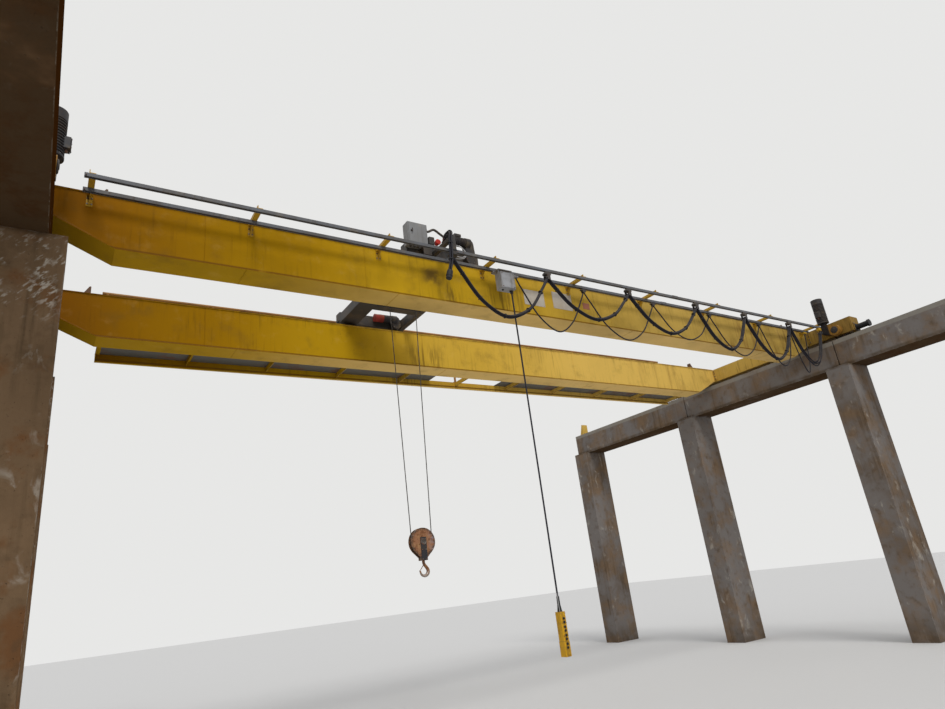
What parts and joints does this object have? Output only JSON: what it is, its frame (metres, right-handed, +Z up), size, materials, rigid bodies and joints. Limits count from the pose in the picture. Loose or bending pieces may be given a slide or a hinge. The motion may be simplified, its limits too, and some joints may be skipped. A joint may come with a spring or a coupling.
{
  "type": "overhead bridge crane",
  "caption": "Double girder overhead travelling crane on a concrete runway, with crab, hook block, festoon cables and hanging push-button control",
  "frame": {"origin": "centre of the floor area between the columns, on the floor", "axes": "+X along the girders, +Y along the runway away from the festoon side, +Z up"},
  "size_m": [14.6, 12.1, 6.752],
  "materials": {
    "concrete": "weathered concrete",
    "crane_yellow": "dusty yellow enamel",
    "rail_steel": "worn rail steel",
    "dark_steel": "dark grey enamel",
    "gray_steel": "grey enamel",
    "green_steel": "grey-green enamel",
    "rail_orange": "faded orange enamel",
    "red_paint": "faded red enamel",
    "rubber_black": "black rubber",
    "rope_steel": "greased wire rope",
    "block_rust": "rusty paint",
    "forged_steel": "rusty forging",
    "control_yellow": "moulded yellow plastic"
  },
  "bodies": {
    "runway": {"runway_columns": "concrete", "runway_beams": "concrete", "crane_rails": "rail_steel", "runway_end_stops": "crane_yellow"},
    "bridge": {"front_girder": "crane_yellow", "back_girder": "crane_yellow", "trolley_rails": "rail_steel", "left_end_carriage": "crane_yellow", "right_end_carriage": "crane_yellow", "bridge_wheels": "dark_steel", "bridge_buffers": "rubber_black", "bridge_drives": "dark_steel", "walkway_floor": "gray_steel", "walkway_frame": "crane_yellow", "walkway_handrail": "rail_orange", "festoon_rails": "gray_steel", "festoon_brackets": "crane_yellow", "heavy_festoon_cable": "rubber_black", "pendant_festoon_cable": "rubber_black"},
    "crab": {"crab_frame": "dark_steel", "crab_wheels": "dark_steel", "hoist_drum": "rope_steel", "hoist_gearbox": "green_steel", "hoist_motor": "green_steel", "crab_drive": "red_paint", "electrical_box": "gray_steel", "tow_arm": "dark_steel", "hoist_ropes": "rope_steel"},
    "hook_block": {"block_cheeks": "block_rust", "block_sheave": "rope_steel"},
    "hook": {"hook": "forged_steel"},
    "pendant": {"pendant_trolley": "gray_steel", "pendant_cable": "rubber_black", "pendant_control": "control_yellow"},
    "heavy_carrier_1_body": {"heavy_carrier_1": "dark_steel"},
    "heavy_carrier_2_body": {"heavy_carrier_2": "dark_steel"},
    "heavy_carrier_3_body": {"heavy_carrier_3": "dark_steel"},
    "heavy_carrier_4_body": {"heavy_carrier_4": "dark_steel"},
    "heavy_carrier_5_body": {"heavy_carrier_5": "dark_steel"},
    "light_carrier_1_body": {"light_carrier_1": "dark_steel"},
    "light_carrier_2_body": {"light_carrier_2": "dark_steel"},
    "light_carrier_3_body": {"light_carrier_3": "dark_steel"},
    "light_carrier_4_body": {"light_carrier_4": "dark_steel"},
    "light_carrier_5_body": {"light_carrier_5": "dark_steel"}
  },
  "joints": [
    {"name": "bridge_travel", "type": "slide", "parent": "runway", "child": "bridge", "axis": [0, 1, 0], "range_m": [-3.25, 3.25]},
    {"name": "trolley_travel", "type": "slide", "parent": "bridge", "child": "crab", "axis": [1, 0, 0], "range_m": [-3.5, 7.7]},
    {"name": "hoist", "type": "slide", "parent": "crab", "child": "hook_block", "axis": [0, 0, 1], "range_m": [-1.9, 3.2], "deforming": ["hoist_ropes"]},
    {"name": "hook_swivel", "type": "hinge", "parent": "hook_block", "child": "hook", "pos_m": [-2.11, 0, 2.1], "axis": [0, 0, 1], "continuous": true},
    {"name": "pendant_travel", "type": "slide", "parent": "bridge", "child": "pendant", "axis": [1, 0, 0], "range_m": [-4.9, 5.9]},
    {"name": "heavy_carrier_1_slide", "type": "slide", "parent": "bridge", "child": "heavy_carrier_1_body", "axis": [1, 0, 0], "range_m": [-2.8647, 6.3025]},
    {"name": "heavy_carrier_2_slide", "type": "slide", "parent": "bridge", "child": "heavy_carrier_2_body", "axis": [1, 0, 0], "range_m": [-2.2057, 4.8525]},
    {"name": "heavy_carrier_3_slide", "type": "slide", "parent": "bridge", "child": "heavy_carrier_3_body", "axis": [1, 0, 0], "range_m": [-1.5509, 3.4119]},
    {"name": "heavy_carrier_4_slide", "type": "slide", "parent": "bridge", "child": "heavy_carrier_4_body", "axis": [1, 0, 0], "range_m": [-1.0062, 2.2137]},
    {"name": "heavy_carrier_5_slide", "type": "slide", "parent": "bridge", "child": "heavy_carrier_5_body", "axis": [1, 0, 0], "range_m": [-0.4378, 0.9633]},
    {"name": "light_carrier_1_slide", "type": "slide", "parent": "bridge", "child": "light_carrier_1_body", "axis": [1, 0, 0], "range_m": [-4.041, 4.8657]},
    {"name": "light_carrier_2_slide", "type": "slide", "parent": "bridge", "child": "light_carrier_2_body", "axis": [1, 0, 0], "range_m": [-3.0062, 3.6197]},
    {"name": "light_carrier_3_slide", "type": "slide", "parent": "bridge", "child": "light_carrier_3_body", "axis": [1, 0, 0], "range_m": [-2.0301, 2.4444]},
    {"name": "light_carrier_4_slide", "type": "slide", "parent": "bridge", "child": "light_carrier_4_body", "axis": [1, 0, 0], "range_m": [-1.0413, 1.2538]},
    {"name": "light_carrier_5_slide", "type": "slide", "parent": "bridge", "child": "light_carrier_5_body", "axis": [1, 0, 0], "range_m": [-0.3577, 0.4307]}
  ],
  "couplings": [
    {"joint": "heavy_carrier_1_slide", "follows": "trolley_travel", "ratio": 0.8185},
    {"joint": "heavy_carrier_2_slide", "follows": "trolley_travel", "ratio": 0.6302},
    {"joint": "heavy_carrier_3_slide", "follows": "trolley_travel", "ratio": 0.4431},
    {"joint": "heavy_carrier_4_slide", "follows": "trolley_travel", "ratio": 0.2875},
    {"joint": "heavy_carrier_5_slide", "follows": "trolley_travel", "ratio": 0.1251},
    {"joint": "light_carrier_1_slide", "follows": "pendant_travel", "ratio": 0.8247},
    {"joint": "light_carrier_2_slide", "follows": "pendant_travel", "ratio": 0.6135},
    {"joint": "light_carrier_3_slide", "follows": "pendant_travel", "ratio": 0.4143},
    {"joint": "light_carrier_4_slide", "follows": "pendant_travel", "ratio": 0.2125},
    {"joint": "light_carrier_5_slide", "follows": "pendant_travel", "ratio": 0.073}
  ]
}
